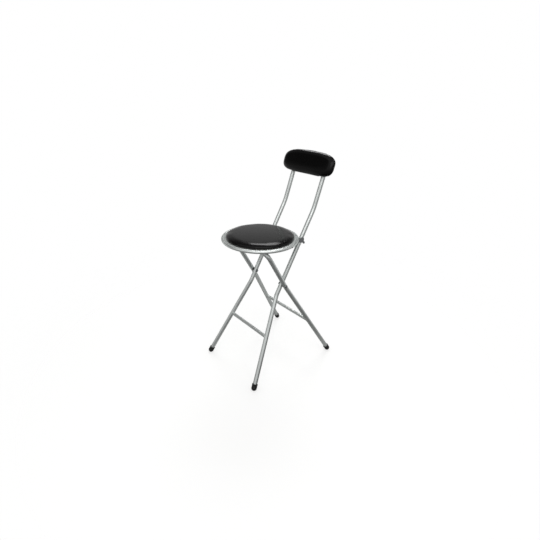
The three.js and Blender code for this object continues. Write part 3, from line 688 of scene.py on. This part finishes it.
def inflate(piece, held, limit):
    """Cloth pressure on piece, with the points that held(point) names kept still."""
    mesh = piece.data
    start = np.array([v.co for v in mesh.vertices])
    still = np.array([held(p) for p in start])
    group = piece.vertex_groups.new(name="held")
    group.add([int(i) for i in np.flatnonzero(still)], 1.0, "REPLACE")
    cloth = piece.modifiers.new("cloth", "CLOTH")
    cloth.settings.vertex_group_mass = "held"
    cloth.settings.use_pressure = True
    cloth.settings.uniform_pressure_force = PRESSURE
    cloth.settings.tension_stiffness = STIFFNESS
    cloth.settings.effector_weights.gravity = 0
    scene = bpy.context.scene
    for number in range(1, FILLING_FRAMES + 1):
        scene.frame_set(number)
    filled = piece.evaluated_get(bpy.context.evaluated_depsgraph_get())
    move = np.array([v.co for v in filled.data.vertices]) - start
    move = neighbour_average(mesh, move, SHARING_ROUNDS)
    length = np.maximum(np.linalg.norm(move, axis=1, keepdims=True), TINY)
    move = move / length * limit * np.tanh(length / limit)
    move[still] = 0
    piece.modifiers.remove(cloth)
    mesh.vertices.foreach_set("co", (start + move).ravel())
    mesh.update()
    scene.frame_set(1)
    farthest = float(np.linalg.norm(move, axis=1).max())
    print(piece.name, "moved up to", round(farthest / MM, 2), "mm")


# %% [markdown]
# ## Helpers for a cushion's mesh
#
# Cloth moves evenly only on even squares, so the block is remeshed before it fills. Voxels leave
# small steps, and a few rounds of averaging smooth them away. A subdivision afterwards makes the
# skin fine enough for close views. It is applied at once, so that the true size can be set.

# %% Remesh, round off and scale
SQUARES = 4 * MM
SMOOTHING_ROUNDS = 4


def applied(piece, modifier):
    """The mesh that the modifier gives. The modifier is taken off again."""
    graph = bpy.context.evaluated_depsgraph_get()
    mesh = bpy.data.meshes.new_from_object(piece.evaluated_get(graph))
    piece.modifiers.remove(modifier)
    return mesh


def remesh(piece):
    """The same shape in even squares, with the steps that voxels leave smoothed away."""
    even = piece.modifiers.new("even_squares", "REMESH")
    even.mode = "VOXEL"
    even.voxel_size = SQUARES
    mesh = applied(piece, even)
    points = np.array([v.co for v in mesh.vertices])
    mesh.vertices.foreach_set("co", neighbour_average(mesh, points, SMOOTHING_ROUNDS).ravel())
    piece.data = mesh


def round_off(piece):
    """One subdivision, applied, so that the true size can be measured and set."""
    rounding = piece.modifiers.new("rounding", "SUBSURF")
    rounding.levels = rounding.render_levels = 1
    mesh = applied(piece, rounding)
    mesh.polygons.foreach_set("use_smooth", [True] * len(mesh.polygons))
    piece.data = mesh


def scale_to(piece, low, high):
    """Stretch the piece a little so that its box runs from low to high."""
    points = np.array([v.co for v in piece.data.vertices])
    old_low, old_high = points.min(axis=0), points.max(axis=0)
    low, high = np.array(low), np.array(high)
    points = low + (points - old_low) * (high - low) / (old_high - old_low)
    piece.data.vertices.foreach_set("co", points.ravel())
    piece.data.update()
    sizes = [round(v / MM, 1) for v in high - low]
    print(piece.name, sizes, "mm,", len(points), "points")


# %% [markdown]
# ## The seat cushion
#
# Its profile climbs a short flank, turns in over a tight shoulder, rolls on at a much larger radius
# and ends in a nearly flat crown. The angles say how far each arc turns, with 90 straight up. The
# two corners of its foot are given in millimetres in from the flank and up from the floor.

# %% The seat cushion
START_INSET = 1.0 * MM
HELD = 1.5 * MM
PAD_FLOOR = 4.9 * MM
PAD_HEIGHT = 19 * MM
PAD_RADIUS = 137.2 * MM
PAD_FLANK = 4 * MM
PAD_SHOULDER = 8.5 * MM
PAD_ROLL = 55 * MM
PAD_FOOT = [(1.6, 0), (0.4, 2)]
ROLL_START, ROLL_END = 66, 87
PAD_LIMIT = 1.6 * MM

flank_radius = PAD_RADIUS - START_INSET
foot = [(flank_radius - inward * MM, PAD_FLOOR + height * MM) for inward, height in PAD_FOOT]
shoulder_r, shoulder_h = flank_radius - PAD_SHOULDER, PAD_FLOOR + PAD_FLANK
shoulder = arc(shoulder_r, shoulder_h, PAD_SHOULDER, 0, ROLL_START, 8)
lean = math.radians(ROLL_START)
roll_r = shoulder[-1][0] - PAD_ROLL * math.cos(lean)
roll_h = shoulder[-1][1] - PAD_ROLL * math.sin(lean)
roll = arc(roll_r, roll_h, PAD_ROLL, ROLL_START, ROLL_END, 6)
crown_r, crown_h = roll[-1]
crown_rise = crown_r * math.tan(math.radians(90 - ROLL_END)) / 2
crown = [(share * crown_r, crown_h + crown_rise * (1 - share**2))
         for share in (0.8, 0.6, 0.4, 0.2, 0)]
profile = [(0, PAD_FLOOR), *foot, *shoulder, *roll[1:], *crown]
block_height = profile[-1][1] - PAD_FLOOR
print("the seat cushion's block is", round(block_height / MM, 1), "mm high before it fills")

seat_cushion = make_object("seat_cushion", *turned(profile, segments=120), black_vinyl)
remesh(seat_cushion)
inflate(seat_cushion, lambda p: p[2] < PAD_FLOOR + HELD, PAD_LIMIT)
round_off(seat_cushion)
scale_to(seat_cushion, (-PAD_RADIUS, -PAD_RADIUS, PAD_FLOOR),
         (PAD_RADIUS, PAD_RADIUS, PAD_FLOOR + PAD_HEIGHT))
seat_cushion.data.transform(seat_place)
stand_for(seat_cushion, "seat_pad")

# %% [markdown]
# ## The back cushion
#
# The back rest is a soft-cornered oblong, and its ends hang a little below its middle. Its block is
# a stack of outlines: two for the edge at the board, one at the top of the flank, then a round
# shoulder and a low crown. It is drawn upright, facing -Y, and leans back with the tubes. Its
# foot is given in millimetres in from the flank and forward from the board.

# %% Where the back cushion sits
BACK_LEAN = -math.radians(BACK_REST_LEAN)
BACK_HALF_WIDTH = 136 * MM
BACK_HALF_HEIGHT = 45.2 * MM
BACK_THICKNESS = 26.5 * MM
BACK_ARCH = 4.9 * MM
BACK_RISE = 27.6 * MM
BOARD_OFF_TUBE = 0.3 * MM

top = front_corners(1)[-1]
up_back = Vector((0, math.sin(-BACK_LEAN), math.cos(BACK_LEAN)))
out_front = Vector((0, -math.cos(BACK_LEAN), math.sin(-BACK_LEAN)))
back_origin = Vector((0, top.y, top.z)) - up_back * BACK_RISE
back_origin += out_front * (TUBE_RADIUS + BOARD_OFF_TUBE)
back_place = Matrix.Translation(back_origin) @ Matrix.Rotation(BACK_LEAN, 4, "X")


def back_spot(turn, inset, depth, power=3.5):
    """A point of the oblong at that inset from its edge and depth in front of its back."""
    c, s = math.cos(turn), math.sin(turn)
    reach = (abs(c) ** power + abs(s) ** power) ** (-1 / power)
    x = (BACK_HALF_WIDTH - inset) * reach * c
    z = (BACK_HALF_HEIGHT - inset) * reach * s - BACK_ARCH * (x / BACK_HALF_WIDTH) ** 2
    return Vector((x, -depth, z))


def back_outline(inset, depth, count=120):
    return [back_spot(turn, inset, depth) for turn in round_turns(count)]


print("back rest starts at", [round(v, 4) for v in back_origin])

# %% Fill the back cushion
BACK_FOOT = [(1.8, 0.1), (0, 2.5)]
BACK_SHOULDER = 17 * MM
BACK_CROWN = 3.5 * MM
LOW_CROWN = 0.8
BACK_LIMIT = 2.5 * MM
COVER_START = 0.3 * MM
BACK_STRETCH, BACK_SAG, BACK_LIFT = 1.2 * MM, 3.2 * MM, 0.8 * MM

flank = BACK_THICKNESS - BACK_CROWN - BACK_SHOULDER
rings = [back_outline(START_INSET + inward * MM, depth * MM) for inward, depth in BACK_FOOT]
rings.append(back_outline(START_INSET, flank))
for degrees in range(12, 85, 12):
    a = math.radians(degrees)
    inset = START_INSET + BACK_SHOULDER * (1 - math.cos(a))
    rings.append(back_outline(inset, flank + BACK_SHOULDER * math.sin(a)))
for share in (0.7, 0.5, 0.3):
    depth = flank + BACK_SHOULDER + LOW_CROWN * BACK_CROWN * (1 - share)
    rings.append(back_outline(BACK_HALF_HEIGHT * (1 - share), depth))

back_cushion = make_object("back_cushion", *stitch_rings(rings), black_vinyl)
remesh(back_cushion)
inflate(back_cushion, lambda p: p[1] > -HELD, BACK_LIMIT)
round_off(back_cushion)
edge_heights = [p.z for p in back_outline(0, 0)]
half_width = BACK_HALF_WIDTH + BACK_STRETCH
scale_to(back_cushion, (-half_width, -BACK_THICKNESS, min(edge_heights) - BACK_SAG),
         (half_width, -COVER_START, max(edge_heights) + BACK_LIFT))
back_cushion.data.transform(back_place)
stand_for(back_cushion, "back_pad")

# %% [markdown]
# ## The back of the back rest
#
# Behind, the cover is turned over the board's edge and stapled. The turned strip is cut by hand, so
# its inner edge wanders, and it gathers in small pleats round the corners, where there is too much
# cover. It is a skin over five loops without end caps. Each loop has four sizes in millimetres:
# how far in from the edge, how far behind the board, how much it wanders, and how deep its pleats
# are.

# %% Turn the cover over
PLEATS = 46
HEM = [(1.6, -0.6, 0, 0), (3.2, 0.25, 0, 0.2), (9, 0.4, 0, 0.7), (17, 0.4, 0.7, 0.8),
       (17.4, -0.2, 0.7, 0)]


def hem_loop(inset, behind, wander, pleat, count=360):
    """A line round the back of the back rest, at that inset from the edge."""
    loop = []
    for t in round_turns(count):
        cut = inset + wander * (math.sin(7 * t + 1.3) + 0.6 * math.sin(17 * t))
        spot = back_spot(t, cut, 0)
        corner = max(0, abs(math.sin(2 * t)) - 0.5) * 2
        spot.y = behind + pleat * corner * (0.5 + 0.5 * math.sin(PLEATS * t))
        loop.append(spot)
    return loop


points, faces = stitch_rings([hem_loop(*(size * MM for size in row)) for row in HEM])
points, faces = [back_place @ p for p in points], faces[:-2]
hem = make_object("turned_cover_edge", points, faces, black_vinyl, sharp_degrees=60)
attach(hem, frame["nodes"]["back_board"]["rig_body"])
print("turned cover edge:", len(points), "points")

# %% [markdown]
# ## Staples
#
# The staples are bent wire, one every 26 mm or so along the turned strip, and none sits under a
# tube. A staple is the same sweep as a tube, only far smaller: two short legs and a crown.

# %% Staple the cover
STAPLE_LINE = 11 * MM
STAPLE_SPACING = 26 * MM
CLEAR_OF_TUBE = 17 * MM
HALF_STAPLE = 5 * MM
STAPLE_LEG = 1.5 * MM
STAPLE_BEND = 0.8 * MM
WIRE_RADIUS = 0.45 * MM

line = back_outline(STAPLE_LINE, 0, count=720)
points, faces, walked = [], [], 0
for before, here, after in zip(line, line[1:], line[2:]):
    walked += (here - before).length
    if walked < STAPLE_SPACING or abs(abs(here.x) - UPRIGHT_HALF_WIDTH) < CLEAR_OF_TUBE:
        continue
    walked = 0
    along, leg = (after - before).normalized() * HALF_STAPLE, Vector((0, STAPLE_LEG, 0))
    wire = [here - along - leg, here - along + leg, here + along + leg, here + along - leg]
    bent_wire = bent_path(wire, [STAPLE_BEND, STAPLE_BEND], steps=3)
    wire_points, wire_faces = sweep(bent_wire, WIRE_RADIUS, sides=8)
    faces += [tuple(i + len(points) for i in face) for face in wire_faces]
    points += [back_place @ p for p in wire_points]
staples = make_object("cover_staples", points, faces, zinc_plate)
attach(staples, frame["nodes"]["back_board"]["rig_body"])
print("staples:", len(points) // len(wire_points))

# %% [markdown]
# ## Rivets in the rim
#
# In the photograph a small dark dot sits on the rim, just in front of the right back tube. It is
# read here as the black head of a rivet through the rolled edge, and a second one is put at the
# left to match. The head's profile is in millimetres.

# %% Set the rim rivets
RIVET_TURN = math.radians(12.4)
RIVET_DIP = math.radians(-10)
RIVET_HEAD = [(0, -1.0), (1.6, -1.0), (2.9, -0.4), (2.9, 0.3), (2.4, 0.9), (1.4, 1.2),
              (1.1, 0.9), (0, 0.9)]

points, faces = turned([(r * MM, h * MM) for r, h in RIVET_HEAD], segments=32)
for word, side in SIDES.items():
    sideways = Vector((side * math.cos(RIVET_TURN), math.sin(RIVET_TURN), 0))
    outward = sideways * math.cos(RIVET_DIP) + Vector((0, 0, math.sin(RIVET_DIP)))
    matrix = seat_place @ facing(outward, sideways * curl + outward * BEAD)
    rivet = make_object(f"rim_rivet_{word}", [matrix @ p for p in points], faces, black_nylon)
    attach(rivet, frame["nodes"]["seat_pan"]["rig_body"])
print("rim rivets sit", round(math.degrees(RIVET_TURN), 1), "degrees behind the widest line")

# %% [markdown]
# ## The small hardware
#
# The remaining CAD pieces already have their true shape, but their facets and razor edges look
# artificial close up. Each is copied, its facets are joined, its edges get a tiny bevel as a
# tumbled or deburred part has, and the copy takes the CAD piece's place.

# %% Dress the remaining CAD pieces
FINISHES = {"silver_paint": silver_paint, "zinc_steel": zinc_plate, "black_nylon": black_nylon,
            "plywood": plywood, "black_vinyl": black_vinyl, "black_rubber": black_rubber}
SLOTS = {entry["node"]: entry["material_slot"] for entry in frame["record"]["subparts"]}
SAME_SPOT = 0.01 * MM
FLAT_DEGREES, SHARP_DEGREES = 1, 45
DEBURRED = 0.25 * MM


def dress(node):
    work = bmesh.new()
    work.from_mesh(frame["nodes"][node].data)
    bmesh.ops.remove_doubles(work, verts=work.verts, dist=SAME_SPOT)
    bmesh.ops.dissolve_limit(work, angle_limit=math.radians(FLAT_DEGREES), verts=work.verts,
                             edges=work.edges)
    mesh = bpy.data.meshes.new(f"{node}_finished")
    work.to_mesh(mesh)
    work.free()
    piece = put_in_scene(mesh.name, mesh, FINISHES[SLOTS[node]], SHARP_DEGREES)
    edge = piece.modifiers.new("deburred", "BEVEL")
    edge.width = DEBURRED
    edge.segments = 2
    edge.limit_method = "ANGLE"
    edge.angle_limit = math.radians(SHARP_DEGREES)
    stand_for(piece, node)


small_pieces = sorted(set(frame["nodes"]) - done)
for node in small_pieces:
    dress(node)
print(len(small_pieces), "small pieces dressed")

# %% [markdown]
# ## Studio
#
# The photograph is a cut-out on white: a white sweep low behind the stool, a pale wall in front of
# it, a softbox high behind it, a black flag at the left and two grey ones at the right. Shiny
# surfaces show all of them: the cushions are nearly black where they mirror a flag, their front
# shoulder catches the softbox, and the tubes are pale with a darker flank. So the camera sees plain
# white everywhere, shiny surfaces see this room, and the lamps light the stool at a level where a
# colour renders as written. Blender tells a shader which kind of ray looks at it, so one world can
# be all of these.

# %% Directions and kinds of ray
def away_from_seat(azimuth, elevation):
    """A direction out from the seat. Azimuth is measured from the photographer to the right."""
    turn, rise = YAW + math.radians(azimuth), math.radians(elevation)
    return Vector((math.sin(turn) * math.cos(rise), -math.cos(turn) * math.cos(rise),
                   math.sin(rise)))


def ray_kinds(tree):
    """Two outputs that are 1 for the camera's rays, and for rays that a shiny surface mirrors."""
    path = tree.nodes.new("ShaderNodeLightPath")
    mirrored = add_node(tree, "ShaderNodeMath", {
        0: path.outputs["Is Glossy Ray"], 1: path.outputs["Is Transmission Ray"]},
        operation="MAXIMUM")
    return path.outputs["Is Camera Ray"], mirrored.outputs[0]


print("the photographer is towards", [round(v, 2) for v in away_from_seat(0, 0)])

# %% [markdown]
# ## The room that shiny surfaces see
#
# The room is drawn in the world's nodes. Each light level goes from one value to another between
# two heights, given in degrees above the horizon. A flag is a soft-edged disc, given by its
# azimuth, its height, the radii of its core and its edge in degrees, and its level.

# %% The white sweep, the wall and the flags
SWEEP_LEVEL, CEILING_LEVEL = 0.6, 0.1
WALL_FOOT_LEVEL, WALL_LEVEL = 0.26, 0.8
BY_HEIGHT = {"sweep": (-6, 8, 1.0, SWEEP_LEVEL),
             "dimming": (20, 40, 0.0, SWEEP_LEVEL - CEILING_LEVEL),
             "wall": (-6, 22, WALL_FOOT_LEVEL, WALL_LEVEL)}
WALL_TO_SWEEP = 0.5
FLAGS = [(-98, 26, 12, 26, 0.1), (70, 4, 12, 30, 0.45), (140, 30, 8, 24, 0.5)]


def make_room(tree):
    """The light level of the room that shiny surfaces mirror."""
    direction = tree.nodes.new("ShaderNodeTexCoord").outputs["Generated"]
    height = add_node(tree, "ShaderNodeSeparateXYZ", {0: direction}).outputs["Z"]
    levels = {}
    for part, (low, high, low_level, high_level) in BY_HEIGHT.items():
        levels[part] = add_node(tree, "ShaderNodeMapRange", {
            "Value": height, "From Min": math.sin(math.radians(low)),
            "From Max": math.sin(math.radians(high)),
            "To Min": low_level, "To Max": high_level}).outputs[0]
    sweep_level = add_node(tree, "ShaderNodeMath", {
        0: levels["sweep"], 1: levels["dimming"]}, operation="SUBTRACT")
    behind = add_node(tree, "ShaderNodeVectorMath", {
        0: direction, 1: away_from_seat(180, 0)}, operation="DOT_PRODUCT")
    side = add_node(tree, "ShaderNodeMapRange", {
        "Value": behind.outputs["Value"], "From Min": 0.0, "From Max": WALL_TO_SWEEP})
    room = add_node(tree, "ShaderNodeMix", {
        0: side.outputs[0], 2: levels["wall"], 3: sweep_level.outputs[0]})
    for azimuth, elevation, core, edge, level in FLAGS:
        nearness = add_node(tree, "ShaderNodeVectorMath", {
            0: direction, 1: away_from_seat(azimuth, elevation)}, operation="DOT_PRODUCT")
        clear = add_node(tree, "ShaderNodeMapRange", {
            "Value": nearness.outputs["Value"], "From Min": math.cos(math.radians(edge)),
            "From Max": math.cos(math.radians(core)), "To Min": 1.0, "To Max": level})
        room = add_node(tree, "ShaderNodeMath", {
            0: room.outputs[0], 1: clear.outputs[0]}, operation="MULTIPLY")
    return room.outputs[0]


# %% Put the room in the world
FILL = 0.66

world = bpy.data.worlds.new("white_sweep_and_flags")
bpy.context.scene.world = world
world.use_nodes = True
tree = world.node_tree
tree.nodes.clear()
from_camera, mirrored = ray_kinds(tree)
lit = add_node(tree, "ShaderNodeMix", {0: mirrored, 2: FILL, 3: make_room(tree)})
strength = add_node(tree, "ShaderNodeMix", {0: from_camera, 2: lit.outputs[0], 3: 1.0})
glow = add_node(tree, "ShaderNodeBackground", {
    "Color": (1, 1, 1, 1), "Strength": strength.outputs[0]})
output = tree.nodes.new("ShaderNodeOutputWorld")
tree.links.new(glow.outputs[0], output.inputs["Surface"])
print("the world has", len(tree.nodes), "nodes and", len(FLAGS), "flags")

# %% [markdown]
# ## The floor
#
# The floor catches the stool's soft shadow and must melt into the white behind it. So it is a disc
# of pale matt paint that fades out towards its edge, and the camera sees a light of its own in it,
# enough that the part in full light comes out white. Shiny surfaces see a little of that light too.
# In the photograph the legs' flanks that face the floor in front of the stool are dark, so there
# the floor is painted dark grey for shiny surfaces only: a painted reflection that shades those
# flanks.

# %% Pour the floor
FLOOR_RADIUS = 1.6
FLOOR_CORNERS = 64
FLOOR_LIFT = 0.63
FLOOR_LIFT_IN_SHINE = 0.05
# The side of the floor that shiny surfaces see painted dark grey: a painted reflection, not a thing
# lying on the floor.
DARK_REFLECTION_SIDE = 5
DARK_REFLECTION_FROM, DARK_REFLECTION_FULL = 0.0, 0.2
FADE_FROM, FADE_TO = 0.45, 0.95 * FLOOR_RADIUS


def make_floor_paint():
    material, tree, output, place = new_material("white_matt_studio_floor")
    from_camera, mirrored = ray_kinds(tree)
    # Painted reflection: for shiny rays only, the floor in front of the stool is painted dark grey
    # (#2a2a2a), which puts painted shade on the legs' flanks.
    towards_dark_reflection = add_node(tree, "ShaderNodeVectorMath", {
        0: place, 1: away_from_seat(DARK_REFLECTION_SIDE, 0)}, operation="DOT_PRODUCT")
    # This mask is how far the painted dark reflection reaches across the floor, not a cloth.
    cloth = add_node(tree, "ShaderNodeMapRange", {
        "Value": towards_dark_reflection.outputs["Value"], "From Min": DARK_REFLECTION_FROM, "From Max": DARK_REFLECTION_FULL})
    in_dark_reflection = add_node(tree, "ShaderNodeMath", {
        0: cloth.outputs[0], 1: mirrored}, operation="MULTIPLY")
    colour = add_node(tree, "ShaderNodeMix", {
        0: in_dark_reflection.outputs[0], 6: linear("#acacab"), 7: linear("#2a2a2a")}, data_type="RGBA")
    matt = add_node(tree, "ShaderNodeBsdfDiffuse", {"Color": colour.outputs[2]})
    in_shine = add_node(tree, "ShaderNodeMath", {
        0: mirrored, 1: FLOOR_LIFT_IN_SHINE}, operation="MULTIPLY")
    lift = add_node(tree, "ShaderNodeMix", {
        0: from_camera, 2: in_shine.outputs[0], 3: FLOOR_LIFT})
    glow = add_node(tree, "ShaderNodeEmission", {
        "Color": (1, 1, 1, 1), "Strength": lift.outputs[0]})
    both = add_node(tree, "ShaderNodeAddShader", {0: matt.outputs[0], 1: glow.outputs[0]})
    distance = add_node(tree, "ShaderNodeVectorMath", {0: place}, operation="LENGTH")
    fade = add_node(tree, "ShaderNodeMapRange", {
        "Value": distance.outputs["Value"], "From Min": FADE_FROM, "From Max": FADE_TO},
        interpolation_type="SMOOTHSTEP")
    clear = add_node(tree, "ShaderNodeBsdfTransparent")
    mix = add_node(tree, "ShaderNodeMixShader", {
        0: fade.outputs["Result"], 1: both.outputs[0], 2: clear.outputs[0]})
    tree.links.new(mix.outputs[0], output.inputs["Surface"])
    return material


rim = [(FLOOR_RADIUS * math.cos(t), FLOOR_RADIUS * math.sin(t), 0)
       for t in round_turns(FLOOR_CORNERS)]
floor = make_object("studio_floor", rim, [tuple(range(FLOOR_CORNERS))], make_floor_paint())
print("floor is", 2 * FLOOR_RADIUS, "m across")

# %% [markdown]
# ## Lamps
#
# A softbox hangs high behind the stool and draws the bright line on the cushion's front shoulder
# and on the rim. A second, larger and weaker one in front keeps the near side of the tubes from
# going dark. Their power comes from the light level: a softbox of radiance L gives L times its area
# over the distance squared, and with the world's own light the whole should come to about pi, where
# white renders white.

# %% Hang the softboxes
LIT_SPOT = Vector((0, 0, 0.5))


def add_softbox(name, azimuth, elevation, distance, size, radiance):
    """A softbox that looks at the seat."""
    away = away_from_seat(azimuth, elevation)
    area = size[0] * size[1]
    lamp = bpy.data.objects.new(name, bpy.data.lights.new(name, "AREA"))
    lamp.data.shape = "RECTANGLE"
    lamp.data.size, lamp.data.size_y = size
    lamp.data.energy = radiance * math.pi * area
    lamp.matrix_world = facing(away, LIT_SPOT + away * distance)
    bpy.context.scene.collection.objects.link(lamp)
    share = radiance * area / distance**2 / math.pi
    print(name, "adds", round(share, 2), "of the full level")


add_softbox("back_softbox", azimuth=174, elevation=51, distance=2.2, size=(0.95, 0.75),
            radiance=6.4)
add_softbox("front_softbox", azimuth=10, elevation=46, distance=2.4, size=(2.2, 1.4),
            radiance=1.5)
bpy.context.scene.view_settings.view_transform = "Standard"
